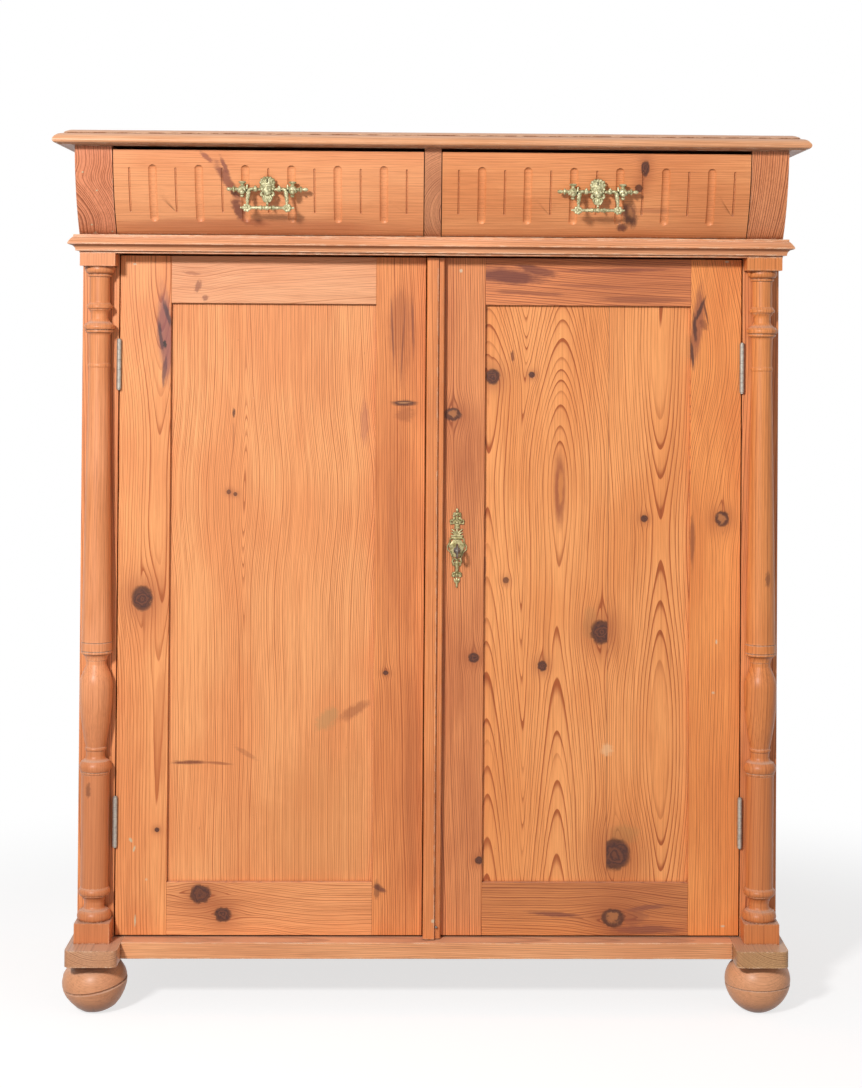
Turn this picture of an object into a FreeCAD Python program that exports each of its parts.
import FreeCAD, Part
import math
import os
import re

import Sketcher

# Jelly cupboard in pine: two drawers over two panelled doors, turned quarter columns, bun feet.
V = FreeCAD.Vector

# ---------------------------------------------------------------- sizes, in millimetres and degrees
SIZES = {
    "overall_height": 1193,  # floor to the top surface
    "top_width": 1013,  # top board, nose to nose
    "top_depth": 500,  # top board, front nose to back edge
    "top_thick": 20.8,  # top board
    "top_nose_reach": 112,  # top board's nose in front of the doors' face
    "top_back_reach": 8,  # top board behind the case
    "top_side_reach": 26.5,  # top board's nose beyond the side panels
    "side_thick": 20,  # side panels
    "stile_wide": 50,  # front stiles of the case
    "stile_thick": 22,  # front stiles of the case
    "frieze_tall": 117.2,  # drawer zone, waist to top board
    "frieze_top_reach": 86,  # curved frieze at its top, in front of the doors' face
    "frieze_foot_reach": 35,  # curved frieze at its foot, in front of the doors' face
    "frieze_bulge": 10.6,  # rise of the frieze's curve over its chord
    "waist_thick": 25,  # moulded board under the drawers
    "dust_thick": 18,  # board that the drawers run on
    "foot_tall": 72,  # bun foot
    "plinth_thick": 22,  # plinth frame
    "plinth_front_reach": 30,  # plinth's front rail in front of the doors' face
    "plinth_rail_wide": 70,  # plinth's front and back rails
    "ear_reach": 73,  # ends of the plinth's side rails in front of the doors' face
    "ear_wide": 70.5,  # plinth's side rails
    "plinth_side_reach": 7,  # plinth beyond the side panels
    "floor_thick": 18,  # bottom board
    "back_thick": 12,  # back boards
    "back_count": 5,  # back boards side by side
    "back_gap": 0.4,  # joint between the back boards
    "shelf_up": 448,  # shelf's underside over the bottom board
    "shelf_thick": 18,  # shelf
    "shelf_setback": 24,  # shelf's front edge behind the doors
    "shelf_play": 1,  # shelf's end clearance
    "cleat_side": 20,  # shelf cleats, square
    "arris": 0.8,  # eased edges of the boards
    "spigot_radius": 12,  # spigot of a foot
    "spigot_play": 0.05,  # spigot's radial clearance
    "foot_inset_side": 28,  # foot's centre in from the side panel's face
    "foot_front_reach": 20,  # front feet's centre in front of the doors' face
    "foot_back_inset": 50,  # back feet's centre in from the case's back

    "door_thick": 22,  # door frames
    "door_gap": 1.5,  # clearance beside and between the doors
    "door_foot_gap": 2,  # clearance under the doors
    "door_head_gap": 2,  # clearance over the doors
    "door_stop_gap": 1,  # clearance between the doors and the bottom board
    "meeting_line": -7.35,  # centre of the gap between the doors
    "hinge_stile_wide": 70,  # doors' outer stiles
    "left_meeting_wide": 68.5,  # left door's inner stile
    "right_meeting_wide": 80.8,  # right door's inner stile, partly under the cover strip
    "top_rail_tall": 65,  # doors' top rails
    "bottom_rail_tall": 72.5,  # doors' bottom rails
    "panel_thick": 8,  # door panels
    "panel_setback": 7,  # door panels behind the frame's face
    "groove_deep": 9,  # groove in the door frames
    "panel_play": 1,  # panel short of its groove's bottom
    "strip_wide": 24,  # cover strip
    "strip_thick": 17,  # cover strip
    "strip_foot_gap": 1,  # strip over the plinth
    "strip_head_gap": 3,  # strip under the waist board
    "strip_step": 8.5,  # lower beaded part of the strip, across
    "strip_step_drop": 4.5,  # lower beaded part of the strip, in thickness
    "strip_round": 5,  # rounding of the strip's field and foot

    "hinge_tall": 67,  # butt hinges
    "hinge_head_inset": 150,  # upper hinges' middle under the doors' upper edge
    "hinge_foot_inset": 155.5,  # lower hinges' middle over the doors' lower edge
    "knuckle_count": 5,  # knuckles of a hinge
    "knuckle_gap": 0.3,  # between the knuckles
    "knuckle_radius": 3.2,  # hinge barrel
    "pin_radius": 1.6,  # hinge pin
    "pin_play": 0.05,  # hinge pin's radial clearance
    "pin_proud": 3.4,  # hinge pin's axis in front of the doors' face
    "pin_head": 1.6,  # hinge pin's head, thickness
    "pin_head_radius": 2.4,  # hinge pin's head
    "leaf_thick": 1.4,  # hinge leaves, let in flush
    "leaf_deep": 19,  # hinge leaves behind the face
    "leaf_notch": 3.5,  # leaf's edge from the pin's axis beside the other leaf's knuckles

    "drawer_gap": 1.25,  # clearance beside the drawer fronts
    "drawer_foot_gap": 1,  # drawer fronts over the waist board
    "drawer_head_gap": 4.8,  # drawer fronts under the top board
    "partition_thick": 22.5,  # partition between the drawers
    "drawer_back_reach": 15,  # back of the drawer fronts, in front of the doors' face
    "drawer_side_thick": 12,  # drawer sides and back
    "drawer_side_tall": 95,  # drawer sides
    "drawer_back_tall": 80,  # drawer backs
    "drawer_side_inset": 1,  # drawer sides in from the front's ends
    "drawer_bottom_thick": 6,  # drawer bottoms
    "drawer_bottom_up": 8,  # drawer bottoms above the drawers' lower edge
    "drawer_groove": 5,  # groove for the drawer bottoms
    "bottom_play": 0.5,  # drawer bottoms short of their groove's end
    "drawer_slide_gap": 0.3,  # drawer sides over the board that they run on
    "drawer_rear_gap": 10,  # drawers short of the back boards
    "guide_tall": 30,  # drawer guides

    "flute_count": 13,  # flutes on a drawer front, narrow and broad in turn
    "flute_pitch": 31.05,  # between the flutes
    "flute_first": 35,  # first flute from the cupboard's centre line
    "flute_broad_wide": 11.4,  # broad flutes
    "flute_broad_deep": 3.4,  # broad flutes
    "flute_broad_foot": 17.5,  # broad flutes' lower end above the waist board
    "flute_broad_tall": 75.5,  # broad flutes
    "flute_narrow_wide": 3,  # narrow flutes
    "flute_narrow_deep": 1.8,  # narrow flutes
    "flute_narrow_foot": 30,  # narrow flutes' lower end above the waist board
    "flute_narrow_tall": 59,  # narrow flutes

    "pull_centre": 222,  # pulls from the cupboard's centre line
    "pull_up": 1.9,  # pulls' post line over the middle of the frieze
    "pull_sink": 6,  # pull's back behind the frieze's upper edge
    "post_spacing": 69,  # between a pull's posts
    "post_radius": 5.5,  # urn of a post
    "stem_radius": 4,  # stem of a post, let into the drawer front
    "stem_deep": 22,  # stem of a post, behind the pull's back
    "stud_radius": 2,  # stud behind a stem
    "stud_play": 0.1,  # stem's and stud's radial clearance
    "nut_radius": 4.5,  # nuts inside the drawers
    "nut_thick": 3,  # nuts inside the drawers
    "bail_reach": 7.6,  # bail's pivot in front of the pull's back
    "bail_pin_radius": 1.6,  # bail's pivots
    "lug_radius": 3.8,  # lugs that hold the bail
    "lug_wide": 4,  # lugs that hold the bail
    "lug_spacing": 32,  # between the lugs' middles
    "bail_arm_spacing": 51,  # between the bail's arms
    "bail_arm_radius": 2.3,  # bail's arms
    "bail_drop": 25,  # bail's bar under its pivots
    "bail_bar_radius": 2,  # bail's bar
    "bail_bar_long": 73,  # bail's bar
    "rosette_radius": 6.3,  # rosettes at the bail's corners
    "rosette_thick": 5.2,  # rosettes at the bail's corners
    "brow_radius": 12.2,  # mask's upper part
    "brow_up": 5,  # middle of the mask's upper part over the post line
    "jaw_radius": 8.6,  # mask's lower part
    "jaw_down": 5,  # middle of the mask's lower part under the post line
    "mask_sunk": 1.2,  # middles of the mask's parts behind the pull's back
    "rail_proud": 0.3,  # rod in front of the pull's back
    "pendant_radius": 7,  # leaf under the mask, at its top
    "pendant_drop": 19,  # leaf's tip under the post line
    "rail_radius": 2.2,  # rod that joins the posts
    "finial_long": 55,  # finials' ends from the pull's middle
    "finial_radius": 4.2,  # collars of the finials

    "knob_radius": 3.4,  # round heads on the front of the posts
    "bead_radius": 3,  # beads on the bail's bar

    "lock_x": 36.8,  # keyhole from the cupboard's centre line
    "lock_up": 530,  # keyhole over the doors' lower edge
    "lock_wide": 62,  # lock case
    "lock_tall": 70,  # lock case
    "lock_deep": 12,  # lock case
    "lock_wall": 1.5,  # lock case's walls
    "keyhole_radius": 4.2,  # keyhole
    "keyhole_slot": 4,  # keyhole's slot, across
    "keyhole_drop": 13,  # keyhole's slot under its centre
    "bolt_thick": 4,  # lock bolt
    "bolt_tall": 12,  # lock bolt
    "bolt_long": 46,  # lock bolt
    "bolt_up": 8,  # lock bolt's lower edge over the keyhole
    "bolt_inset": 0.2,  # withdrawn bolt short of the door's edge
    "bolt_play": 0.3,  # around the lock bolt
    "mortise_play": 1,  # around the lock bolt in the left door
    "bolt_travel": 9,  # lock bolt's throw
    "tail_long": 13,  # thin tail of the lock bolt, over the key
    "tail_rise": 4.5,  # thin tail's lower edge over the bolt's
    "key_shank_radius": 3,  # key
    "key_bit_drop": 11,  # key's bit under its axis
    "key_bit_thick": 2.4,  # key's bit
    "key_bow_radius": 9.5,  # key's bow, to the middle of its wire
    "key_wire": 2,  # key's bow, wire radius
    "key_collar_radius": 4.6,  # key's collar
    "key_reach": 16,  # key's bow in front of the doors' face, at its near edge
    "scutcheon_thick": 2.5,  # escutcheon

    "slide_bolt_radius": 4,  # left door's bolts
    "slide_bolt_x": -42,  # left door's bolts from the cupboard's centre line
    "slide_bolt_off": 9,  # left door's bolts, axis behind the door
    "slide_bolt_long": 120,  # left door's bolts
    "upper_bolt_rest": 1,  # withdrawn upper bolt under the doors' upper edge
    "lower_bolt_rest": 2,  # withdrawn lower bolt over the bottom board
    "slide_bolt_bite": 13,  # depth of the bolts' holes in the boards
    "slide_bolt_play": 0.08,  # around the bolts in their staples
    "bolt_hole_play": 0.6,  # around the bolts in the boards
    "bolt_plate_wide": 26,  # bolt plates
    "bolt_plate_tall": 90,  # bolt plates
    "bolt_plate_thick": 1.6,  # bolt plates
    "bolt_plate_inset": 22,  # bolt plates in from the door's ends
    "staple_tall": 10,  # staples that guide the bolts
    "staple_wide": 15,  # staples that guide the bolts
    "staple_deep": 16,  # staples behind the door
    "bolt_knob_radius": 3.5,  # knobs of the left door's bolts
    "bolt_knob_long": 13,  # knobs of the left door's bolts, from the axis
    "top_step": 24,  # top board's lower step in from the nose
    "block_wide": 48,  # column's square blocks
    "block_deep": 38,  # column's square blocks in front of the stile
    "cap_tall": 17.5,  # column's upper block
    "base_tall": 27.5,  # column's lower block
    "ear_round": 9,  # rounding of the plinth's ears
    "bun_top_radius": 27,  # bun foot's top under the plinth
}
# mouldings and turnings by stations: name, run, rise, bulge of the curve to the next station.
PROFILES = {
    # top board: distance in from the nose, drop from the upper face
    "top": [
        ("edge", 23, 0, 0.5), ("bevel", 13.6, 3.8, 0), ("fillet", 14.6, 4.7, 0), ("slope", 11.6, 5.5, 1.5),
        ("arris", 1.2, 11.6, 0.35), ("nose", 0, 15.2, 0.5), ("chin", 2.8, 18.7, 0),
        ("quirk", 6.5, 18.8, 0.9), ("bead", 11, 20.2, 0)],
    # waist board: distance out from the case, drop from the upper face
    "waist": [
        ("ledge", 7.6, 0, 0), ("fillet", 7.6, 3.2, 0), ("rise", 8.6, 3.8, 0.5), ("ovolo", 14.5, 11.4, 0),
        ("nose", 14.5, 13, 0), ("quirk", 11.6, 14.2, -1.6), ("cove", 5, 20.5, 0), ("toe", 5, 22, 0),
        ("step", 0, 22, 0)],
    # column's lower part: radius, height over the plinth
    "foot_turn": [
        ("torus", 21, 27.5, 2.2), ("torus_top", 21, 39.8, 0), ("lip", 19.8, 41.4, 0),
        ("flare", 18.6, 42.2, -1.6),
        ("neck", 13.6, 48, 0), ("neck_top", 13.4, 52, -1.2), ("cup", 19.4, 61, 0), ("cup_top", 19.2, 62.4, 0),
        ("ring", 20.6, 62.8, 1.2), ("ring_top", 20.6, 69.8, 0), ("ring_lip", 19.4, 71.4, 0),
        ("drum", 18.8, 72, 0), ("drum_top", 18.8, 226, 0), ("fillet", 19.8, 227.2, 0),
        ("fillet_top", 19.8, 229, 0), ("seam", 19.2, 229.6, 0), ("girdle", 20.4, 230.2, 1.6),
        ("girdle_top", 20.4, 241, 0), ("girdle_lip", 18.8, 243.6, 0), ("bell", 17.2, 244.6, -1),
        ("waist", 12.9, 250.6, 0), ("waist_top", 12.9, 257.6, 0), ("bead", 13.8, 258, 0.9),
        ("bead_top", 13.8, 262.4, 0), ("vase", 13.4, 262.8, 0.7), ("swell", 20.8, 309.6, 0.4),
        ("shoulder", 22.2, 341, 1.3), ("brow", 19.4, 361.2, 0), ("throat", 13.6, 375, 0),
        ("throat_top", 13.6, 380.4, 0), ("bowl", 14.6, 381, -1.3), ("bowl_top", 19.8, 389.6, 0),
        ("band", 20.9, 390.4, 0), ("band_low", 20.9, 392.6, 0), ("line", 19.9, 393.3, 0),
        ("line_out", 20.8, 394, 0), ("band_top", 20.7, 404.6, 0), ("mark", 19.8, 405.3, 0),
        ("mark_out", 20.6, 406, 0), ("shaft", 20.4, 408, 0)],
    # column's upper part: radius, drop under the waist board
    "head_turn": [
        ("shaft", 14.2, 156.6, 0), ("bead", 14.4, 156, 0.9), ("bead_top", 14.4, 150.6, 0),
        ("drum", 14, 150, 0),
        ("drum_top", 14.8, 112, -0.7), ("lip", 18.6, 107.8, 0.4), ("lip_top", 18.8, 105, 0),
        ("seam", 18.2, 104.3, 0), ("ring", 20.3, 103.6, 1), ("ring_top", 20.3, 98, 0),
        ("ring_lip", 18.6, 95.8, -1.4), ("neck", 11.9, 88, 0), ("neck_top", 11.8, 83, -0.6),
        ("taper", 14.6, 77.4, 0), ("quirk", 14.8, 76.2, 0), ("collar", 16.6, 75.4, 0.9),
        ("collar_top", 16.6, 70.6, 0), ("collar_lip", 15.4, 68.8, -0.3), ("stem", 13.8, 66, 0),
        ("stem_top", 13.9, 32.4, 0), ("astragal", 15.6, 31.8, 0.6), ("astragal_top", 15.6, 28.9, 0),
        ("groove", 15.3, 28.3, 0), ("ovolo", 16.4, 27.8, 1.8), ("ovolo_top", 19.8, 19.6, 0),
        ("fillet", 20.3, 19.2, 0), ("fillet_top", 20.3, 17.5, 0)],
    # bun foot: radius, height
    "bun": [
        ("pad", 12, 0, 6.8), ("belly", 44.4, 37, 0), ("line", 43.2, 38, 0), ("crown", 44.4, 39, 6)],
    # urn of a pull: radius, height over the post line
    "urn": [
        ("foot", 2, -11.5, 0.5), ("ball", 3.4, -9, 0), ("neck", 2.6, -7.5, 0), ("belly", 5.2, -3, 1.2),
        ("shoulder", 4.4, 4, 0), ("throat", 3.2, 5.5, 0), ("cap", 6, 8, 0), ("cap_top", 5.6, 10, 0),
        ("knob", 2, 11, 0)],
    # escutcheon: half width, height over the keyhole
    "scutcheon": [
        ("tip", 1.6, 57, 0), ("ball", 3.2, 53.5, 0), ("ball_foot", 1.6, 49.5, 0),
        ("leaf", 5.6, 47.5, 0), ("leaf_foot", 3, 45.4, 0), ("crown", 10, 43.5, 0.8),
        ("crown_foot", 9.4, 35.5, 0), ("neck", 4.4, 33.5, 0), ("neck_foot", 4.4, 27.5, 0),
        ("collar", 9.4, 24.5, 0), ("collar_foot", 7.4, 18, 0), ("body", 9, 15, 0), ("wing", 14, 2.5, 1),
        ("wing_foot", 9, -10, 0), ("scroll", 8, -16, 0), ("scroll_foot", 6.2, -25, 0),
        ("stalk", 3.6, -30, 0), ("ring", 6.6, -35, 1), ("ring_foot", 5.4, -42, 0),
        ("drop", 2.6, -45, 0), ("drop_foot", 2.4, -51, 0), ("end", 0.8, -54, 0)],
}
# planes that the pieces share
PLANES = {
    "half_case": "=top_width / 2 - top_side_reach",  # side panels' outer faces
    "face_y": "=top_nose_reach - top_depth / 2",  # doors' and stiles' front face
    "case_back": "=top_depth / 2 - top_back_reach",  # back of the case
    "back_front": "=case_back - back_thick",  # inner face of the back boards
    "stile_back": "=face_y + stile_thick",  # back of the stiles
    "door_back": "=face_y + door_thick",  # back of the doors
    "side_inner": "=half_case - side_thick",  # side panels' inner faces
    "opening_half": "=half_case - stile_wide",  # stiles' inner edges
    "plinth_top": "=foot_tall + plinth_thick",  # plinth's upper face
    "top_under": "=overall_height - top_thick",  # top board's underside
    "waist_top": "=top_under - frieze_tall",  # waist board's upper face
    "waist_under": "=waist_top - waist_thick",  # waist board's underside
    "dust_under": "=waist_top - dust_thick",  # dust board's underside
    "floor_top": "=plinth_top + floor_thick",  # bottom board's upper face
    "door_foot": "=plinth_top + door_foot_gap",  # doors' lower edge
    "shelf_height": "=floor_top + shelf_up",  # shelf's underside
    "door_head": "=waist_under - door_head_gap",  # doors' upper edge
    "hinge_upper": "=door_head - hinge_head_inset",  # upper hinges' middle
    "hinge_lower": "=door_foot + hinge_foot_inset",  # lower hinges' middle
    "lock_height": "=door_foot + lock_up",  # keyhole
    "pull_height": "=waist_top + frieze_tall / 2 + pull_up",  # pulls' post line
    "column_x": "=opening_half + stile_wide / 2",  # columns' axis
    "column_y": "=face_y - block_deep + block_wide / 2",  # columns' axis
    "frieze_lean": "=frieze_top_reach - frieze_foot_reach",  # frieze's overhang
    "frieze_chord": "=sqrt(frieze_lean ^ 2 + frieze_tall ^ 2)",  # frieze's curve, end to end
    "frieze_radius": "=frieze_chord ^ 2 / (8 * frieze_bulge) + frieze_bulge / 2",  # frieze's curve
    # axis of the frieze's curve
    "frieze_axis_y": "=face_y - (frieze_top_reach + frieze_foot_reach) / 2"
        " + (frieze_radius - frieze_bulge) * frieze_tall / frieze_chord",
    # axis of the frieze's curve
    "frieze_axis_z": "=waist_top + frieze_tall / 2"
        " + (frieze_radius - frieze_bulge) * frieze_lean / frieze_chord",
    "pin_x": "=opening_half - door_gap / 2",  # hinge pins
    "pin_y": "=face_y - pin_proud",  # hinge pins
    "left_edge": "=meeting_line - door_gap / 2",  # left door's free edge
    "right_edge": "=meeting_line + door_gap / 2",  # right door's free edge
    "groove_front": "=face_y + panel_setback",  # front of the door panels
    "drawer_near": "=partition_thick / 2 + drawer_gap",  # drawer fronts' inner ends
    "drawer_far": "=opening_half - drawer_gap",  # drawer fronts' outer ends
    "drawer_back": "=face_y - drawer_back_reach",  # back of the drawer fronts
    "drawer_rear": "=back_front - drawer_rear_gap",  # drawers' rear end
    "drawer_foot": "=waist_top + drawer_slide_gap",  # drawer sides' lower edge
    "pull_y": "=face_y - frieze_top_reach + pull_sink",  # back of the pulls
    "lock_front": "=door_back - lock_deep",  # front of the lock case
    "bolt_front": "=lock_front + (lock_deep - bolt_thick) / 2",  # front of the lock bolt
    "bolt_foot": "=lock_height + bolt_up",  # lower edge of the lock bolt
}


def write_sizes():
    """Write every size and plane in the sheet, one row each, and return their names."""
    cells = dict(SIZES)
    for prefix, stations in PROFILES.items():
        for name, run, rise, bulge in stations:
            cells[f"{prefix}_{name}_run"] = run
            cells[f"{prefix}_{name}_rise"] = rise
            if bulge:
                cells[f"{prefix}_{name}_bulge"] = bulge
    cells.update(PLANES)
    for row, (name, value) in enumerate(cells.items(), start=1):
        sheet.set(f"A{row}", name.replace("_", " "))
        sheet.set(f"B{row}", str(value))
        sheet.setAlias(f"B{row}", name)
    doc.recompute()
    return list(cells)


doc = FreeCAD.newDocument("JellyCupboard")
sheet = doc.addObject("Spreadsheet::Sheet", "Sizes")
size_names = write_sizes()
finished = []


# ---------------------------------------------------------------- tools of the trade
SIDES = (("left", -1), ("right", 1))
TURNS = {
    "x": FreeCAD.Rotation(V(0, 1, 0), 90),
    "-x": FreeCAD.Rotation(V(0, 1, 0), -90),
    "y": FreeCAD.Rotation(V(1, 0, 0), -90),
    "-y": FreeCAD.Rotation(V(1, 0, 0), 90),
    "z": FreeCAD.Rotation(),
    "-z": FreeCAD.Rotation(V(1, 0, 0), 180),
}


def ex(text):
    """Turn size names in an expression into references to the sheet."""
    def swap(match):
        word = match.group(0)
        return f"Sizes.{word}" if word in size_names else word
    return re.sub(r"[A-Za-z_][A-Za-z_0-9]*", swap, text)


def num(text):
    """Work an expression out from the sheet."""
    return float(sheet.evalExpression(ex(text)))


def place(obj, corner):
    """Bind an object's position to three expressions."""
    for axis, text in zip("xyz", corner):
        obj.setExpression(f"Placement.Base.{axis}", ex(text))
    return obj


def finish(label, obj):
    """Name a finished piece."""
    obj.Label = label
    finished.append(obj)
    return obj


def box(name, corner, sides):
    """A plain block, from its lowest corner."""
    obj = doc.addObject("Part::Box", name)
    for prop, text in zip(("Length", "Width", "Height"), sides):
        obj.setExpression(prop, ex(text))
    return place(obj, corner)


def board(name, corner, sides):
    """A planed board: a block with every edge eased."""
    block = box(f"{name}_block", corner, sides)
    obj = doc.addObject("Part::Fillet", name)
    obj.Base = block
    arris = num("arris")
    obj.Edges = [(edge + 1, arris, arris) for edge in range(12)]
    return obj


def rod(name, start, radius, length, along="z"):
    """A round rod from a start point along an axis."""
    obj = doc.addObject("Part::Cylinder", name)
    obj.setExpression("Radius", ex(radius))
    obj.setExpression("Height", ex(length))
    obj.Placement = FreeCAD.Placement(V(), TURNS[along])
    return place(obj, start)


def cone(name, start, radius, end_radius, length, along="z"):
    """A tapered rod from a start point along an axis."""
    obj = doc.addObject("Part::Cone", name)
    obj.setExpression("Radius1", ex(radius))
    obj.setExpression("Radius2", ex(end_radius))
    obj.setExpression("Height", ex(length))
    obj.Placement = FreeCAD.Placement(V(), TURNS[along])
    return place(obj, start)


def ball(name, centre, radius):
    """A ball, with its poles to the left and right."""
    obj = doc.addObject("Part::Sphere", name)
    obj.setExpression("Radius", ex(radius))
    obj.Placement = FreeCAD.Placement(V(), TURNS["x"])
    return place(obj, centre)


def join(name, pieces):
    """One solid from several that overlap."""
    obj = doc.addObject("Part::MultiFuse", name)
    obj.Shapes = pieces
    return obj


def group(name, pieces):
    """Several separate solids under one name."""
    obj = doc.addObject("Part::Compound", name)
    obj.Links = pieces
    return obj


def cut(name, base, tools):
    """A solid less one or more others."""
    obj = doc.addObject("Part::Cut", name)
    obj.Base = base
    obj.Tool = tools[0] if len(tools) == 1 else join(f"{name}_cutters", tools)
    return obj


def common(name, first, second):
    """What two solids share."""
    obj = doc.addObject("Part::Common", name)
    obj.Base = first
    obj.Tool = second
    return obj


def sketch_outline(body, plane, outline):
    """Draw a closed outline on a body's own plane, each corner bound to the sheet.

    A corner is (across, up) or (across, up, bulge); a bulge curves the line to the next corner,
    away from the solid where it is positive and into it where it is negative.
    """
    sketch = body.newObject("Sketcher::SketchObject", f"{body.Name}_outline")
    role = [part for part in body.Origin.OriginFeatures if part.Role == plane][0]
    sketch.AttachmentSupport = (role, [""])
    sketch.MapMode = "FlatFace"
    points = [V(num(corner[0]), num(corner[1]), 0) for corner in outline]
    area = sum(p.x * q.y - q.x * p.y for p, q in zip(points, points[1:] + points[:1]))
    outward = 1 if area > 0 else -1
    ends = []
    for index, corner in enumerate(outline):
        here = points[index]
        there = points[(index + 1) % len(points)]
        first = 1
        if len(corner) > 2:
            run = there - here
            bulge = num(corner[2]) * outward
            middle = (here + there) * 0.5 + V(run.y, -run.x, 0).normalize() * bulge
            first = 1 if bulge > 0 else 2
            start, end = (here, there) if bulge > 0 else (there, here)
            sketch.addGeometry(Part.Arc(start, middle, end), False)
        else:
            sketch.addGeometry(Part.LineSegment(here, there), False)
        ends.append((first, 3 - first))
    for index in range(len(outline)):
        after = (index + 1) % len(outline)
        sketch.addConstraint(
            Sketcher.Constraint("Coincident", index, ends[index][1], after, ends[after][0]))
    for index, corner in enumerate(outline):
        for kind, text, value in (("DistanceX", corner[0], points[index].x),
                                  ("DistanceY", corner[1], points[index].y)):
            number = sketch.addConstraint(
                Sketcher.Constraint(kind, -1, 1, index, ends[index][0], value))
            sketch.setExpression(f"Constraints[{number}]", ex(text))
        if len(corner) > 2:
            after = outline[(index + 1) % len(outline)]
            run = f"(({after[0]}) - ({corner[0]}))"
            rise = f"(({after[1]}) - ({corner[1]}))"
            chord = f"sqrt({run} ^ 2 + {rise} ^ 2)"
            reach = f"{outward} * ({chord} / (8 * ({corner[2]})) - ({corner[2]}) / (2 * {chord}))"
            centre_x = f"(({corner[0]}) + ({after[0]})) / 2 - {rise} * {reach}"
            centre_y = f"(({corner[1]}) + ({after[1]})) / 2 + {run} * {reach}"
            upright = abs(num(rise)) > abs(num(run))
            kind, text = ("DistanceX", centre_x) if upright else ("DistanceY", centre_y)
            number = sketch.addConstraint(Sketcher.Constraint(kind, -1, 1, index, 3, num(text)))
            sketch.setExpression(f"Constraints[{number}]", ex(text))
    return sketch


def prism(name, plane, outline, length, start):
    """A padded outline: on YZ_Plane it runs along +X, on XZ_Plane towards the front, on XY_Plane up."""
    body = doc.addObject("PartDesign::Body", name)
    sketch = sketch_outline(body, plane, outline)
    pad = body.newObject("PartDesign::Pad", f"{name}_pad")
    pad.Profile = sketch
    pad.setExpression("Length", ex(length))
    return place(body, start)


def turning(name, outline, centre):
    """A turned piece: an outline of (radius, height) spun about its upright axis."""
    body = doc.addObject("PartDesign::Body", name)
    sketch = sketch_outline(body, "XZ_Plane", outline)
    spin = body.newObject("PartDesign::Revolution", f"{name}_spin")
    spin.Profile = sketch
    spin.ReferenceAxis = (sketch, ["V_Axis"])
    spin.Angle = 360
    return place(body, centre)


def stations(prefix, across="{}", along="{}"):
    """Corners of an outline from the stations in the sheet, in the sheet's order."""
    corners = []
    for run in size_names:
        if not (run.startswith(f"{prefix}_") and run.endswith("_run")):
            continue
        name = run[:-4]
        corner = [across.format(run), along.format(f"{name}_rise")]
        if f"{name}_bulge" in size_names:
            corner.append(f"{name}_bulge")
        corners.append(tuple(corner))
    return corners


def mirrored(right):
    """A closed outline from its right half, given from the top down."""
    left = []
    for index in range(len(right) - 1, -1, -1):
        corner = right[index]
        bulge = right[index - 1][2:] if index else ()
        left.append((f"-({corner[0]})", corner[1]) + tuple(bulge))
    return right + left


def span(side, near, far):
    """Lowest X of a piece that lies between two distances from the centre line."""
    return f"-({far})" if side < 0 else f"({near})"


def width(near, far):
    """Width of that piece."""
    return f"({far}) - ({near})"


# ---------------------------------------------------------------- mouldings
def top_profile(edge, away):
    """Top board's moulding from its upper face down, with the lower step."""
    corners = stations("top", f"{edge} {away} {{}}", "overall_height - {}")
    inner = f"{edge} {away} top_step"
    drop = "overall_height - top_bead_rise"
    return corners + [(inner, drop), (inner, "top_under")]


def waist_profile(edge, away):
    """Waist moulding from its upper face down."""
    corners = stations("waist", f"{edge} {away} {{}}", "waist_top - {}")
    return corners + [(corners[-1][0], "waist_under")]


top_front = top_profile("-top_depth / 2", "+") + [("top_depth / 2", "top_under"),
                                                 ("top_depth / 2", "overall_height")]
top_along = prism("top_along", "YZ_Plane", top_front, "top_width", ("-top_width / 2", "0", "0"))
top_across = prism("top_across", "XZ_Plane", mirrored(top_profile("top_width / 2", "-")), "top_depth",
                   ("0", "top_depth / 2", "0"))
finish("top_board", common("top_slab", top_along, top_across))

waist_front = waist_profile("face_y - frieze_foot_reach", "-") + [("stile_back", "waist_under"),
                                                                 ("stile_back", "waist_top")]
waist_along = prism("waist_along", "YZ_Plane", waist_front, "top_width", ("-top_width / 2", "0", "0"))
waist_across = prism("waist_across", "XZ_Plane", mirrored(waist_profile("half_case", "+")),
                     "top_depth", ("0", "stile_back", "0"))
finish("waist_board", common("waist_slab", waist_along, waist_across))
returns = []
for side_name, side in SIDES:
    outline = waist_profile("half_case", "+")[:-2] + [("half_case", "waist_top - waist_toe_rise"),
                                                     ("half_case", "waist_top")]
    if side < 0:
        outline = [(f"-({corner[0]})",) + corner[1:] for corner in outline]
    returns.append(prism(f"waist_return_{side_name}", "XZ_Plane", outline, "case_back - stile_back",
                         ("0", "case_back", "0")))
finish("waist_returns", group("returns", returns))


# ---------------------------------------------------------------- case
for side_name, side in SIDES:
    finish(f"side_panel_{side_name}", board(
        f"panel_{side_name}", (span(side, "side_inner", "half_case"), "stile_back", "plinth_top"),
        ("side_thick", "case_back - stile_back", "top_under - plinth_top")))
    stile = board(f"stile_{side_name}", (span(side, "opening_half", "half_case"), "face_y", "plinth_top"),
                  ("stile_wide", "stile_thick", "waist_under - plinth_top"))
    recesses = [box(f"stile_recess_{side_name}_{level}",
                    (span(side, "opening_half", "opening_half + leaf_thick"), "face_y",
                     f"hinge_{level} - hinge_tall / 2"),
                    ("leaf_thick", "leaf_deep", "hinge_tall")) for level in ("upper", "lower")]
    finish(f"front_stile_{side_name}", cut(f"stile_cut_{side_name}", stile, recesses))

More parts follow.
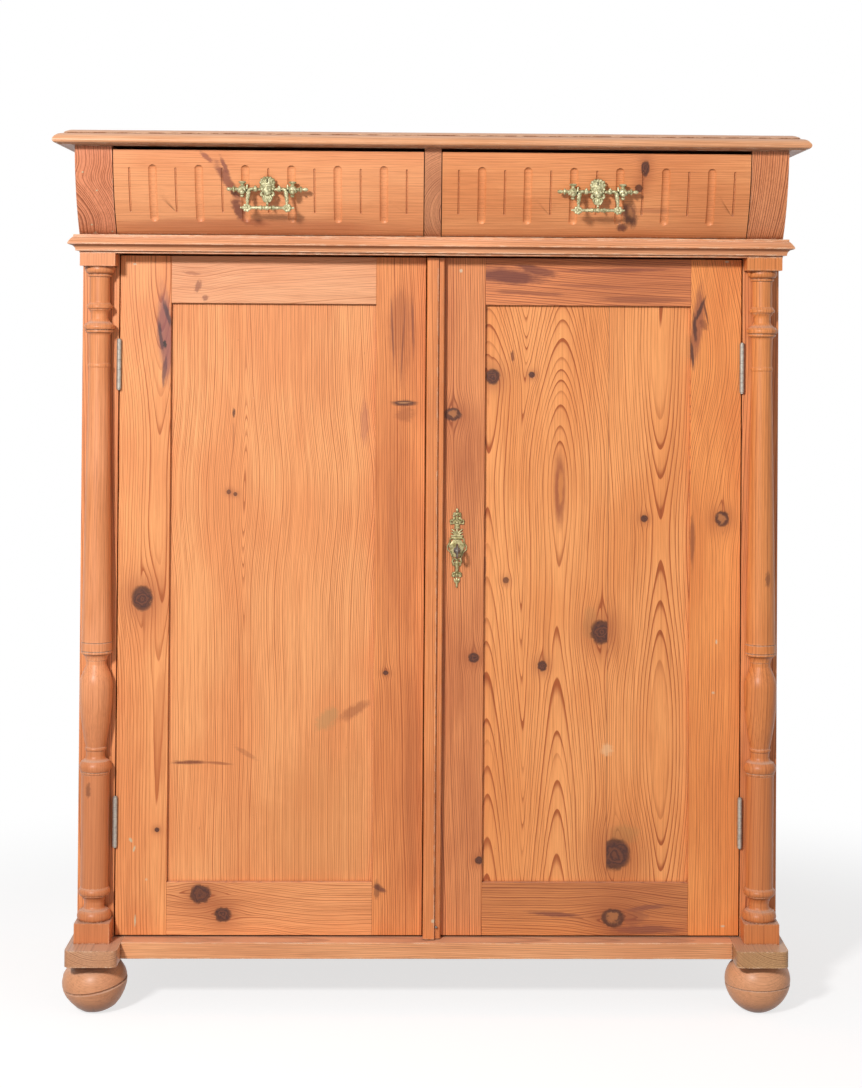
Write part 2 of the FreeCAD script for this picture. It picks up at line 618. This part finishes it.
FRIEZE = [("face_y - frieze_top_reach", "top_under", "frieze_bulge"),
          ("face_y - frieze_foot_reach", "waist_top")]
block_outline = FRIEZE + [("stile_back", "waist_top"), ("stile_back", "top_under")]
for side_name, side in SIDES:
    finish(f"frieze_block_{side_name}", prism(
        f"block_{side_name}", "YZ_Plane", block_outline, "stile_wide",
        (span(side, "opening_half", "half_case"), "0", "0")))
partition_outline = FRIEZE + [("back_front", "waist_top"), ("back_front", "top_under")]
finish("drawer_partition", prism("partition", "YZ_Plane", partition_outline, "partition_thick",
                                 ("-partition_thick / 2", "0", "0")))

bolt_y = "door_back + slide_bolt_off"
dust = box("dust", ("-side_inner", "stile_back", "dust_under"),
           ("2 * side_inner", "back_front - stile_back", "dust_thick"))
upper_hole = rod("upper_hole", ("slide_bolt_x", bolt_y, "dust_under"),
                 "slide_bolt_radius + bolt_hole_play", "slide_bolt_bite")
finish("dust_board", cut("dust_cut", dust, [upper_hole]))
guides = [box(f"guide_{side_name}", (span(side, "opening_half", "side_inner"), "stile_back", "waist_top"),
              ("side_inner - opening_half", "back_front - stile_back", "guide_tall"))
          for side_name, side in SIDES]
finish("drawer_guides", group("guides", guides))

floor_board = box("floor_board", ("-side_inner", "door_back + door_stop_gap", "plinth_top"),
                  ("2 * side_inner", "back_front - door_back - door_stop_gap", "floor_thick"))
lower_hole = rod("lower_hole", ("slide_bolt_x", bolt_y, "floor_top - slide_bolt_bite"),
                 "slide_bolt_radius + bolt_hole_play", "slide_bolt_bite")
finish("bottom_board", cut("floor_cut", floor_board, [lower_hole]))
back_step = "(2 * side_inner / back_count)"
backs = [box(f"back_{index}", (f"-side_inner + {index} * {back_step}", "back_front", "plinth_top"),
             (f"{back_step} - back_gap", "back_thick", "top_under - plinth_top"))
         for index in range(int(num("back_count")))]
finish("back_boards", group("backs", backs))
finish("shelf", board("shelf_board", ("-(side_inner - shelf_play)", "door_back + shelf_setback",
                                      "shelf_height"),
                      ("2 * (side_inner - shelf_play)",
                       "back_front - door_back - shelf_setback - shelf_play", "shelf_thick")))
cleats = [box(f"cleat_{side_name}", (span(side, "side_inner - cleat_side", "side_inner"),
                                     "door_back + shelf_setback", "shelf_height - cleat_side"),
              ("cleat_side", "back_front - door_back - shelf_setback", "cleat_side"))
          for side_name, side in SIDES]
finish("shelf_cleats", group("cleats", cleats))


# ---------------------------------------------------------------- quarter columns
turned = [("0", "plinth_top + base_tall")]
turned += stations("foot_turn", "{}", "plinth_top + {}")
turned += stations("head_turn", "{}", "waist_under - {}")
turned += [("0", "waist_under - cap_tall")]
for side_name, side in SIDES:
    axis_x = f"{side} * column_x"
    shaft = turning(f"shaft_{side_name}", turned, (axis_x, "column_y", "0"))
    front_half = box(f"front_half_{side_name}", (f"{axis_x} - block_wide / 2", "face_y - block_deep",
                                                 "plinth_top"),
                     ("block_wide", "block_deep", "waist_under - plinth_top"))
    base = box(f"column_base_{side_name}", (f"{axis_x} - block_wide / 2", "face_y - block_deep",
                                            "plinth_top"),
               ("block_wide", "block_deep", "base_tall"))
    cap = box(f"column_cap_{side_name}", (f"{axis_x} - block_wide / 2", "face_y - block_deep",
                                          "waist_under - cap_tall"),
              ("block_wide", "block_deep", "cap_tall"))
    finish(f"column_{side_name}", join(f"column_{side_name}_whole", [
        common(f"shaft_front_{side_name}", shaft, front_half), base, cap]))


# ---------------------------------------------------------------- plinth and feet
rail_inner = "(half_case + plinth_side_reach - ear_wide)"
finish("plinth_front_rail", board("front_rail", (f"-{rail_inner}", "face_y - plinth_front_reach",
                                                 "foot_tall"),
                                  (f"2 * {rail_inner}", "plinth_rail_wide", "plinth_thick")))
finish("plinth_back_rail", board("back_rail", (f"-{rail_inner}", "case_back - plinth_rail_wide",
                                               "foot_tall"),
                                 (f"2 * {rail_inner}", "plinth_rail_wide", "plinth_thick")))
ear_front = "face_y - ear_reach"
ear_outer = "half_case + plinth_side_reach"
ear_bulge = "ear_round * (1 - sqrt(0.5))"
ear_outline = [(rail_inner, "case_back"), (rail_inner, f"{ear_front} + ear_round", ear_bulge),
               (f"{rail_inner} + ear_round", ear_front), (f"{ear_outer} - ear_round", ear_front, ear_bulge),
               (ear_outer, f"{ear_front} + ear_round"), (ear_outer, "case_back")]
for side_name, side in SIDES:
    outline = ear_outline
    if side < 0:
        outline = [(f"-({corner[0]})",) + corner[1:] for corner in ear_outline]
    rail = prism(f"side_rail_{side_name}", "XY_Plane", outline, "plinth_thick", ("0", "0", "foot_tall"))
    foot_x = f"{side} * (half_case - foot_inset_side)"
    sockets = []
    for end, foot_y in (("front", "face_y - foot_front_reach"), ("back", "case_back - foot_back_inset")):
        bun = [("0", "0")] + stations("bun") + [("bun_top_radius", "foot_tall"), ("0", "foot_tall")]
        foot = turning(f"bun_{end}_{side_name}", bun, (foot_x, foot_y, "0"))
        spigot = rod(f"spigot_{end}_{side_name}", (foot_x, foot_y, "foot_tall - arris"),
                     "spigot_radius", "plinth_thick")
        sockets.append(rod(f"socket_{end}_{side_name}", (foot_x, foot_y, "foot_tall"),
                           "spigot_radius + spigot_play", "plinth_thick"))
        finish(f"foot_{end}_{side_name}", join(f"foot_{end}_{side_name}_whole", [foot, spigot]))
    finish(f"plinth_side_rail_{side_name}", cut(f"side_rail_cut_{side_name}", rail, sockets))


# ---------------------------------------------------------------- hinges
leaves = {"frame": [], "left": [], "right": []}
pins = []
knuckle = "((hinge_tall - (knuckle_count - 1) * knuckle_gap) / knuckle_count)"
for side_name, side in SIDES:
    for level in ("upper", "lower"):
        tag = f"{side_name}_{level}"
        low = f"hinge_{level} - hinge_tall / 2"
        axis = f"{side} * pin_x"
        bore = rod(f"bore_{tag}", (axis, "pin_y", low), "pin_radius + pin_play", "hinge_tall")
        for owner, first, near in (("frame", 0, "opening_half"),
                                   (side_name, 1, "opening_half - door_gap - leaf_thick")):
            left_x = span(side, near, f"{near} + leaf_thick")
            key = f"{tag}_{'frame' if owner == 'frame' else 'door'}"
            solids = [box(f"leaf_{key}", (left_x, "pin_y + leaf_notch", low),
                          ("leaf_thick", "pin_proud + leaf_deep - leaf_notch", "hinge_tall"))]
            for index in range(first, int(num("knuckle_count")), 2):
                up = f"{low} + {index} * ({knuckle} + knuckle_gap)"
                solids.append(rod(f"knuckle_{key}_{index}", (axis, "pin_y", up), "knuckle_radius", knuckle))
                solids.append(box(f"tab_{key}_{index}", (left_x, "pin_y", up),
                                  ("leaf_thick", "leaf_notch + leaf_thick", knuckle)))
            leaves[owner].append(cut(f"leaf_cut_{key}", join(f"leaf_whole_{key}", solids), [bore]))
        pins.append(join(f"pin_{tag}", [
            rod(f"pin_shank_{tag}", (axis, "pin_y", low), "pin_radius", "hinge_tall"),
            rod(f"pin_top_{tag}", (axis, "pin_y", f"{low} + hinge_tall"), "pin_head_radius", "pin_head"),
            rod(f"pin_foot_{tag}", (axis, "pin_y", f"{low} - pin_head"), "pin_head_radius", "pin_head")]))
finish("hinge_frame_leaves", group("frame_leaves", leaves["frame"]))
finish("hinge_pins", group("pins", pins))


# ---------------------------------------------------------------- doors
def keyhole(name, radius, front, depth):
    """A round hole with a slot under it, for the key and its bit."""
    return join(name, [
        rod(f"{name}_round", ("lock_x", front, "lock_height"), radius, depth, "y"),
        box(f"{name}_slot", ("lock_x - keyhole_slot / 2", front, "lock_height - keyhole_drop"),
            ("keyhole_slot", depth, "keyhole_drop"))])


def groove(name, low_x, wide, low_z, tall):
    """Groove in a door frame for its panel and tenons."""
    return box(name, (low_x, "groove_front", low_z), (wide, "panel_thick", tall))


door_tall = "(door_head - door_foot)"
bolt_gap = "(bolt_thick + 2 * mortise_play)"
for side_name, side in SIDES:
    door = f"{side_name}_door"
    hinge_near = "(opening_half - door_gap - hinge_stile_wide)"
    outer_x = span(side, hinge_near, "(opening_half - door_gap)")
    free_x = "left_edge - left_meeting_wide" if side < 0 else "right_edge"
    free_wide = "left_meeting_wide" if side < 0 else "right_meeting_wide"
    left_in = f"-{hinge_near}" if side < 0 else "right_edge + right_meeting_wide"
    right_in = "left_edge - left_meeting_wide" if side < 0 else hinge_near
    outer_stile = board(f"{door}_outer", (outer_x, "face_y", "door_foot"),
                        ("hinge_stile_wide", "door_thick", door_tall))
    free_stile = board(f"{door}_free", (free_x, "face_y", "door_foot"),
                       (free_wide, "door_thick", door_tall))
    grooves = {"right": groove(f"{door}_groove_right", right_in, "groove_deep", "door_foot", door_tall),
               "left": groove(f"{door}_groove_left", f"{left_in} - groove_deep", "groove_deep",
                              "door_foot", door_tall)}
    recesses = [box(f"{door}_recess_{level}",
                    (span(side, "opening_half - door_gap - leaf_thick", "opening_half - door_gap"),
                     "face_y", f"hinge_{level} - hinge_tall / 2"),
                    ("leaf_thick", "leaf_deep", "hinge_tall")) for level in ("upper", "lower")]
    finish(f"{door}_hinge_stile", cut(f"{door}_outer_cut", outer_stile,
                                      recesses + [grooves["left" if side < 0 else "right"]]))
    if side < 0:
        pockets = [grooves["right"],
                   box("bolt_mortise", ("left_edge - bolt_travel - mortise_play", "bolt_front - mortise_play",
                                        "bolt_foot - mortise_play"),
                       ("bolt_travel + mortise_play + arris", bolt_gap, "bolt_tall + 2 * mortise_play"))]
    else:
        pockets = [grooves["left"],
                   box("lock_pocket", ("right_edge - arris", "lock_front", "lock_height - lock_tall / 2"),
                       ("lock_wide + arris", "lock_deep + arris", "lock_tall")),
                   keyhole("stile_keyhole", "keyhole_radius", "face_y", "door_thick")]
    finish(f"{door}_meeting_stile", cut(f"{door}_free_cut", free_stile, pockets))
    rail_wide = f"(({right_in}) - ({left_in}))"
    for part, low_z, tall, slot_z in (
            ("top", "door_head - top_rail_tall", "top_rail_tall", "door_head - top_rail_tall"),
            ("bottom", "door_foot", "bottom_rail_tall", "door_foot + bottom_rail_tall - groove_deep")):
        rail = board(f"{door}_{part}", (left_in, "face_y", low_z), (rail_wide, "door_thick", tall))
        tenon = box(f"{door}_{part}_tenon", (f"{left_in} - groove_deep", "groove_front", low_z),
                    (f"{rail_wide} + 2 * groove_deep", "panel_thick", tall))
        slot = groove(f"{door}_{part}_groove", f"{left_in} - groove_deep",
                      f"{rail_wide} + 2 * groove_deep", slot_z, "groove_deep")
        finish(f"{door}_{part}_rail", cut(f"{door}_{part}_cut",
                                          join(f"{door}_{part}_whole", [rail, tenon]), [slot]))
    reach = "(groove_deep - panel_play)"
    finish(f"{door}_panel", box(
        f"{door}_field", (f"{left_in} - {reach}", "groove_front", f"door_foot + bottom_rail_tall - {reach}"),
        (f"{rail_wide} + 2 * {reach}", "panel_thick",
         f"{door_tall} - top_rail_tall - bottom_rail_tall + 2 * {reach}")))
    finish(f"{door}_hinge_leaves", group(f"{door}_leaves", leaves[side_name]))


# ---------------------------------------------------------------- left door's bolts
plates = []
for level, sign in (("upper", 1), ("lower", -1)):
    plate_z = "door_head - bolt_plate_inset - bolt_plate_tall"
    tip_z = "door_head - upper_bolt_rest"
    if sign < 0:
        plate_z = "door_foot + bolt_plate_inset"
        tip_z = "floor_top + lower_bolt_rest"
    solids = [box(f"{level}_plate", ("slide_bolt_x - bolt_plate_wide / 2", "door_back", plate_z),
                  ("bolt_plate_wide", "bolt_plate_thick", "bolt_plate_tall"))]
    for index, up in enumerate((plate_z, f"{plate_z} + bolt_plate_tall - staple_tall")):
        solids.append(box(f"{level}_staple_{index}", ("slide_bolt_x - staple_wide / 2", "door_back", up),
                          ("staple_wide", "staple_deep", "staple_tall")))
    bore = rod(f"{level}_staple_bore", ("slide_bolt_x", bolt_y, plate_z),
               "slide_bolt_radius + slide_bolt_play", "bolt_plate_tall")
    plates.append(cut(f"{level}_plate_cut", join(f"{level}_plate_whole", solids), [bore]))
    low = f"{tip_z} - slide_bolt_long" if sign > 0 else tip_z
    finish(f"left_door_{level}_bolt", join(f"{level}_bolt_whole", [
        rod(f"{level}_bolt_rod", ("slide_bolt_x", bolt_y, low), "slide_bolt_radius", "slide_bolt_long"),
        rod(f"{level}_bolt_knob", ("slide_bolt_x", bolt_y, f"{plate_z} + bolt_plate_tall / 2"),
            "bolt_knob_radius", "bolt_knob_long", "y")]))
finish("left_door_bolt_plates", group("plates", plates))


# ---------------------------------------------------------------- right door's strip, lock and key
strip_low = "plinth_top + strip_foot_gap"
strip_top = "waist_under - strip_head_gap"
field = "(strip_wide - strip_step)"
strip_y = "face_y - strip_thick"
strip_outline = [("right_edge", "face_y"), ("right_edge", f"{strip_y} + strip_round", "strip_round * 0.25"),
                 ("right_edge + strip_round * 0.6", strip_y),
                 (f"right_edge + {field}", strip_y),
                 (f"right_edge + {field}", f"{strip_y} + strip_step_drop"),
                 ("right_edge + strip_wide - strip_step_drop * 0.5", f"{strip_y} + strip_step_drop",
                  "strip_step_drop * 0.15"),
                 ("right_edge + strip_wide", f"{strip_y} + strip_step_drop * 1.5"),
                 ("right_edge + strip_wide", "face_y")]
strip = prism("strip", "XY_Plane", strip_outline, f"{strip_top} - ({strip_low})", ("0", "0", strip_low))
finish("right_door_cover_strip", strip)

case_low = "lock_height - lock_tall / 2"
inner_deep = "(lock_deep - 2 * lock_wall)"
lock_shell = box("lock_shell", ("right_edge", "lock_front", case_low),
                 ("lock_wide", "lock_deep", "lock_tall"))
lock_hollow = box("lock_hollow", ("right_edge + lock_wall", "lock_front + lock_wall",
                                  f"{case_low} + lock_wall"),
                  ("lock_wide - 2 * lock_wall", inner_deep, "lock_tall - 2 * lock_wall"))
lock_slot = box("lock_slot", ("right_edge", "bolt_front - bolt_play", "bolt_foot - bolt_play"),
                ("2 * lock_wall", "bolt_thick + 2 * bolt_play", "bolt_tall + 2 * bolt_play"))
lock_keyhole = keyhole("lock_keyhole", "key_shank_radius + pin_play", "lock_front", "2 * lock_wall")
lock_pivot = rod("lock_pivot", ("lock_x", "door_back - 2 * lock_wall", "lock_height"),
                 "key_shank_radius + pin_play", "2 * lock_wall", "y")
finish("right_door_lock_case", cut("lock_case_cut", lock_shell,
                                   [lock_hollow, lock_slot, lock_keyhole, lock_pivot]))
bolt_bar = box("bolt_bar", ("right_edge + bolt_inset", "bolt_front", "bolt_foot"),
               ("bolt_long", "bolt_thick", "bolt_tall"))
bolt_cut = box("bolt_cut", ("right_edge + bolt_inset + bolt_long - tail_long", "bolt_front", "bolt_foot"),
               ("tail_long", "bolt_thick", "tail_rise"))
finish("right_door_lock_bolt", cut("lock_bolt_cut", bolt_bar, [bolt_cut]))

scutcheon = prism("scutcheon", "XZ_Plane", mirrored(stations("scutcheon", "{}", "lock_height + {}")),
                  "scutcheon_thick", ("lock_x", "face_y", "0"))
finish("right_door_escutcheon", cut("scutcheon_cut", scutcheon, [
    keyhole("scutcheon_keyhole", "keyhole_radius", "face_y - 2 * scutcheon_thick",
            "3 * scutcheon_thick")]))

bow_y = "(face_y - key_reach - key_bow_radius - key_wire)"
bow = doc.addObject("Part::Torus", "key_bow")
bow.setExpression("Radius1", ex("key_bow_radius"))
bow.setExpression("Radius2", ex("key_wire"))
bow.Placement = FreeCAD.Placement(V(), TURNS["x"])
place(bow, ("lock_x", bow_y, "lock_height"))
shank = rod("key_shank", ("lock_x", f"{bow_y} + key_bow_radius", "lock_height"), "key_shank_radius",
            f"door_back - {bow_y} - key_bow_radius", "y")
collar = rod("key_collar", ("lock_x", "face_y - key_reach + key_wire", "lock_height"), "key_collar_radius",
             "key_wire * 2", "y")
bit = box("key_bit", ("lock_x - key_bit_thick / 2", "lock_front + 2 * lock_wall - pin_play * 10",
                      "lock_height - key_bit_drop"),
          ("key_bit_thick", f"lock_deep - 4 * lock_wall + pin_play * 20", "key_bit_drop"))
finish("right_door_key", join("key_whole", [bow, shank, collar, bit]))


# ---------------------------------------------------------------- drawers
def flute_cutter(name, side):
    """Rounded flutes along the curved front, broad and narrow in turn, each with round ends."""
    shapes = []
    axis_y = num("frieze_axis_y")
    axis_z = num("frieze_axis_z")
    radius = num("frieze_radius")
    for index in range(int(num("flute_count"))):
        kind = "broad" if index % 2 else "narrow"
        half = num(f"flute_{kind}_wide") / 2
        deep = num(f"flute_{kind}_deep")
        tool = (half ** 2 + deep ** 2) / (2 * deep)
        path = radius + tool - deep
        x = side * (num("flute_first") + index * num("flute_pitch"))
        low = num(f"waist_top + flute_{kind}_foot")
        high = low + num(f"flute_{kind}_tall")
        start = math.asin((axis_z - high) / radius) + half / radius
        stop = math.asin((axis_z - low) / radius) - half / radius
        centres = [V(x, axis_y - path * math.cos(angle), axis_z - path * math.sin(angle))
                   for angle in (start, stop)]
        tangent = V(0, math.sin(start), -math.cos(start))
        disc = Part.Face(Part.Wire([Part.makeCircle(tool, centres[0], tangent)]))
        sweep = disc.revolve(V(x, axis_y, axis_z), V(1, 0, 0), math.degrees(stop - start))
        shapes += [sweep] + [Part.makeSphere(tool * 1.003, centre) for centre in centres]
    obj = doc.addObject("Part::Feature", name)
    obj.Shape = Part.makeCompound(shapes)
    obj.Placement = FreeCAD.Placement()
    return obj


for side_name, side in SIDES:
    tag = f"{side_name}_drawer"
    near = "drawer_near"
    far = "drawer_far"
    low_x = span(side, near, far)
    front_low = "waist_top + drawer_foot_gap"
    front_high = "top_under - drawer_head_gap"
    blank = prism(f"{tag}_blank", "YZ_Plane",
                  FRIEZE + [("drawer_back", "waist_top"), ("drawer_back", "top_under")],
                  "drawer_far - drawer_near", (low_x, "0", "0"))
    trim = box(f"{tag}_trim", (low_x, "face_y - top_nose_reach", front_low),
               ("drawer_far - drawer_near", "top_nose_reach", f"{front_high} - ({front_low})"))
    face = common(f"{tag}_face", blank, trim)
    stems = []
    for index, offset in enumerate(("- post_spacing / 2", "+ post_spacing / 2")):
        post_x = f"{side} * pull_centre {offset}"
        stems.append(rod(f"{tag}_stem_hole_{index}", (post_x, "pull_y", "pull_height"),
                         "stem_radius + stud_play", "stem_deep + stud_play", "y"))
        stems.append(rod(f"{tag}_stud_hole_{index}", (post_x, "pull_y", "pull_height"),
                         "stud_radius + stud_play", "frieze_top_reach - pull_sink", "y"))
    bottom_z = "drawer_foot + drawer_bottom_up"
    slot = box(f"{tag}_front_groove", (f"{low_x} + drawer_side_inset + drawer_side_thick - drawer_groove",
                                       "drawer_back - drawer_groove", bottom_z),
               ("drawer_far - drawer_near - 2 * (drawer_side_inset + drawer_side_thick - drawer_groove)",
                "2 * drawer_groove", "drawer_bottom_thick"))
    fluted = cut(f"{tag}_fluted", face, [flute_cutter(f"{tag}_flutes", side)])
    finish(f"{tag}_front", cut(f"{tag}_front_cut", fluted, stems + [slot]))
    box_deep = "(drawer_rear - drawer_back)"
    sides = []
    for index, side_x in enumerate((f"{low_x} + drawer_side_inset",
                                    f"{low_x} + drawer_far - drawer_near - drawer_side_inset"
                                    " - drawer_side_thick")):
        plank = box(f"{tag}_side_{index}", (side_x, "drawer_back", "drawer_foot"),
                    ("drawer_side_thick", box_deep, "drawer_side_tall"))
        plough = box(f"{tag}_side_groove_{index}",
                     (f"{side_x} + {'drawer_side_thick - drawer_groove' if index == 0 else '0'}",
                      "drawer_back", bottom_z),
                     ("drawer_groove", box_deep, "drawer_bottom_thick"))
        sides.append(cut(f"{tag}_side_cut_{index}", plank, [plough]))
    inner_x = f"{low_x} + drawer_side_inset + drawer_side_thick"
    inner_wide = "(drawer_far - drawer_near - 2 * (drawer_side_inset + drawer_side_thick))"
    back = box(f"{tag}_back", (inner_x, "drawer_rear - drawer_side_thick",
                               f"{bottom_z} + drawer_bottom_thick"),
               (inner_wide, "drawer_side_thick", "drawer_back_tall"))
    finish(f"{tag}_box", group(f"{tag}_sides", sides + [back]))
    finish(f"{tag}_bottom", box(f"{tag}_base", (f"{inner_x} - drawer_groove + bottom_play",
                                                "drawer_back - drawer_groove + bottom_play", bottom_z),
                                (f"{inner_wide} + 2 * (drawer_groove - bottom_play)",
                                 f"{box_deep} + drawer_groove - bottom_play", "drawer_bottom_thick")))


# ---------------------------------------------------------------- pulls
for side_name, side in SIDES:
    tag = f"{side_name}_pull"
    mid = f"{side} * pull_centre"
    rail_y = "pull_y - rail_radius - rail_proud"
    solids = [rod(f"{tag}_rail", (f"{mid} - finial_long + 2 * finial_radius - arris", rail_y, "pull_height"),
                  "rail_radius", "2 * (finial_long - 2 * finial_radius + arris)", "x")]
    nuts = []
    for index, out in enumerate((-1, 1)):
        post_x = f"{mid} + {out} * post_spacing / 2"
        urn = [("0", "urn_foot_rise + pull_height")] + stations("urn", "{}", "pull_height + {}")
        urn += [("0", "urn_knob_rise + pull_height")]
        solids.append(turning(f"{tag}_urn_{index}", urn, (post_x, "pull_y - post_radius", "0")))
        solids.append(ball(f"{tag}_knob_{index}", (post_x, "pull_y - 2 * post_radius + arris",
                                                   "pull_height"), "knob_radius"))
        solids.append(rod(f"{tag}_stem_{index}", (post_x, "pull_y - post_radius", "pull_height"),
                          "stem_radius", "stem_deep + post_radius", "y"))
        solids.append(rod(f"{tag}_stud_{index}", (post_x, "pull_y", "pull_height"),
                          "stud_radius", "drawer_back - pull_y + nut_thick + arris", "y"))
        along = "x" if out > 0 else "-x"
        solids.append(rod(f"{tag}_collar_{index}", (f"{mid} + {out} * (finial_long - 3 * finial_radius)",
                                                    rail_y, "pull_height"),
                          "finial_radius", "finial_radius / 2", along))
        solids.append(cone(f"{tag}_tip_{index}", (f"{mid} + {out} * (finial_long - 2 * finial_radius)",
                                                  rail_y, "pull_height"),
                           "finial_radius * 0.8", "finial_radius * 0.3", "2 * finial_radius", along))
        solids.append(rod(f"{tag}_lug_{index}", (f"{mid} + {out} * lug_spacing / 2 - lug_wide / 2",
                                                 "pull_y - bail_reach", "pull_height"),
                          "lug_radius", "lug_wide", "x"))
        nut = doc.addObject("Part::Prism", f"{tag}_nut_blank_{index}")
        nut.setExpression("Circumradius", ex("nut_radius"))
        nut.setExpression("Height", ex("nut_thick"))
        nut.Placement = FreeCAD.Placement(V(), TURNS["y"])
        place(nut, (post_x, "drawer_back", "pull_height"))
        nuts.append(cut(f"{tag}_nut_{index}", nut, [rod(
            f"{tag}_nut_hole_{index}", (post_x, "drawer_back", "pull_height"),
            "stud_radius + stud_play / 2", "nut_thick", "y")]))
    brow = ball(f"{tag}_brow", (mid, "pull_y + mask_sunk", "pull_height + brow_up"), "brow_radius")
    jaw = ball(f"{tag}_jaw", (mid, "pull_y + mask_sunk", "pull_height - jaw_down"), "jaw_radius")
    pendant = cone(f"{tag}_pendant", (mid, "pull_y - rail_proud", "pull_height - jaw_down"),
                   "pendant_radius", "pendant_radius / 6", "pendant_drop - jaw_down", "-z")
    behind = box(f"{tag}_behind", (f"{mid} - 2 * brow_radius", "pull_y",
                                   "pull_height - 3 * brow_radius"),
                 ("4 * brow_radius", "2 * brow_radius", "6 * brow_radius"))
    solids.append(cut(f"{tag}_relief", join(f"{tag}_relief_whole", [brow, jaw, pendant]), [behind]))
    bores = [rod(f"{tag}_bore_{index}",
                 (f"{mid} + {out} * lug_spacing / 2 - lug_wide", "pull_y - bail_reach", "pull_height"),
                 "bail_pin_radius + pin_play", "2 * lug_wide", "x") for index, out in enumerate((-1, 1))]
    finish(f"{side_name}_drawer_pull_plate", cut(f"{tag}_plate", join(f"{tag}_whole", solids), bores))
    finish(f"{side_name}_drawer_pull_nuts", group(f"{tag}_nuts", nuts))

    bail_y = "pull_y - bail_reach"
    bar_z = "pull_height - bail_drop"
    wires = [rod(f"{tag}_bar", (f"{mid} - bail_bar_long / 2 + bead_radius", bail_y, bar_z),
                 "bail_bar_radius", "bail_bar_long - 2 * bead_radius", "x"),
             ball(f"{tag}_bead", (mid, bail_y, bar_z), "bead_radius * 1.15")]
    for index, out in enumerate((-1, 1)):
        arm_x = f"{mid} + {out} * bail_arm_spacing / 2"
        along = "-x" if out > 0 else "x"
        wires.append(rod(f"{tag}_pivot_{index}", (arm_x, bail_y, "pull_height"), "bail_pin_radius",
                         "(bail_arm_spacing - lug_spacing) / 2 + lug_wide / 2 - arris / 2", along))
        wires.append(ball(f"{tag}_elbow_{index}", (arm_x, bail_y, "pull_height"), "bail_arm_radius * 1.15"))
        wires.append(rod(f"{tag}_arm_{index}", (arm_x, bail_y, bar_z), "bail_arm_radius", "bail_drop"))
        wires.append(rod(f"{tag}_rosette_{index}", (arm_x, f"{bail_y} - rosette_thick / 2", bar_z),
                         "rosette_radius", "rosette_thick", "y"))
        wires.append(ball(f"{tag}_end_{index}", (f"{mid} + {out} * (bail_bar_long / 2 - bead_radius)",
                                                 bail_y, bar_z), "bead_radius"))
        wires.append(ball(f"{tag}_bead_{index}", (f"{mid} + {out} * bead_radius * 2.6", bail_y, bar_z),
                          "bead_radius * 0.9"))
    finish(f"{side_name}_drawer_bail", join(f"{tag}_bail", wires))


# ---------------------------------------------------------------- check and write
doc.recompute()
faults = [f"{obj.Name}: {obj.State}" for obj in doc.Objects if {"Invalid", "Error"} & set(obj.State)]
for obj in finished:
    shape = obj.Shape
    if shape.isNull() or not shape.isValid() or not shape.Solids:
        faults.append(f"{obj.Label}: not a valid solid")
if faults:
    raise RuntimeError("; ".join(faults))
os.makedirs("parts", exist_ok=True)
for obj in finished:
    obj.Shape.exportStep(f"parts/{obj.Label}.step")
print(f"{len(finished)} pieces written")
